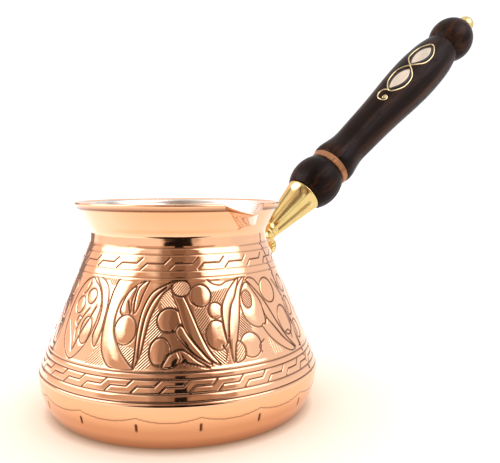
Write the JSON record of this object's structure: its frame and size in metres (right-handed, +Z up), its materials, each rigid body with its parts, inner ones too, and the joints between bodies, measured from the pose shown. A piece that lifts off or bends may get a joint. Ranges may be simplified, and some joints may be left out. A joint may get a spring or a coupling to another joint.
{
  "type": "turkish coffee pot cezve",
  "caption": "Small engraved copper coffee pot with a narrow neck, a pouring lip and a long turned wooden handle held by a brass bracket and ferrule.",
  "frame": {"origin": "middle of the pot's flat base, on the surface it stands on", "axes": "+Z up along the pot's axis, +X towards the side that the handle leaves, so the handle's axis lies in the XZ plane"},
  "size_m": [0.2263, 0.11, 0.1753],
  "materials": {
    "copper": "polished engraved copper",
    "tin": "hand-wiped tin",
    "brass": "polished cast brass",
    "brass_wire": "flush inlaid wire",
    "steel": "plain",
    "dark_wood": "oiled dark hardwood",
    "light_wood": "oiled lighter hardwood",
    "mastic": "black mastic",
    "pearl": "polished mother-of-pearl"
  },
  "bodies": {
    "pot": {"pot_shell": "copper", "tin_lining": "tin", "handle_bracket": "brass", "bracket_rivets": "brass", "handle_rod": "steel", "ferrule_nut": "steel", "ferrule": "brass"},
    "wooden_handle": {"lower_bead": "dark_wood", "spacer_ring": "light_wood", "grip": "dark_wood", "end_bead": "dark_wood", "mastic_upper": "mastic", "mastic_lower": "mastic", "pearl_upper": "pearl", "pearl_lower": "pearl", "loop_wire_upper": "brass_wire", "loop_wire_lower": "brass_wire", "scroll_wire": "brass_wire", "scroll_eye": "brass_wire"},
    "washer": {"finial_washer": "brass"},
    "finial": {"finial_nut": "brass"}
  },
  "joints": [
    {"name": "handle_swivel", "type": "hinge", "parent": "pot", "child": "wooden_handle", "pos_m": [0.0426, 0, 0.0666], "axis": [0.766, 0, 0.6428], "continuous": true},
    {"name": "washer_travel", "type": "slide", "parent": "pot", "child": "washer", "axis": [0.766, 0, 0.6428], "range_m": [0, 0.0048]},
    {"name": "finial_turn", "type": "hinge", "parent": "washer", "child": "finial", "pos_m": [0.0426, 0, 0.0666], "axis": [0.766, 0, 0.6428], "range_deg": [0, 2160]}
  ],
  "couplings": [
    {"joint": "finial_turn", "follows": "washer_travel", "rad_per_m": 7854}
  ]
}
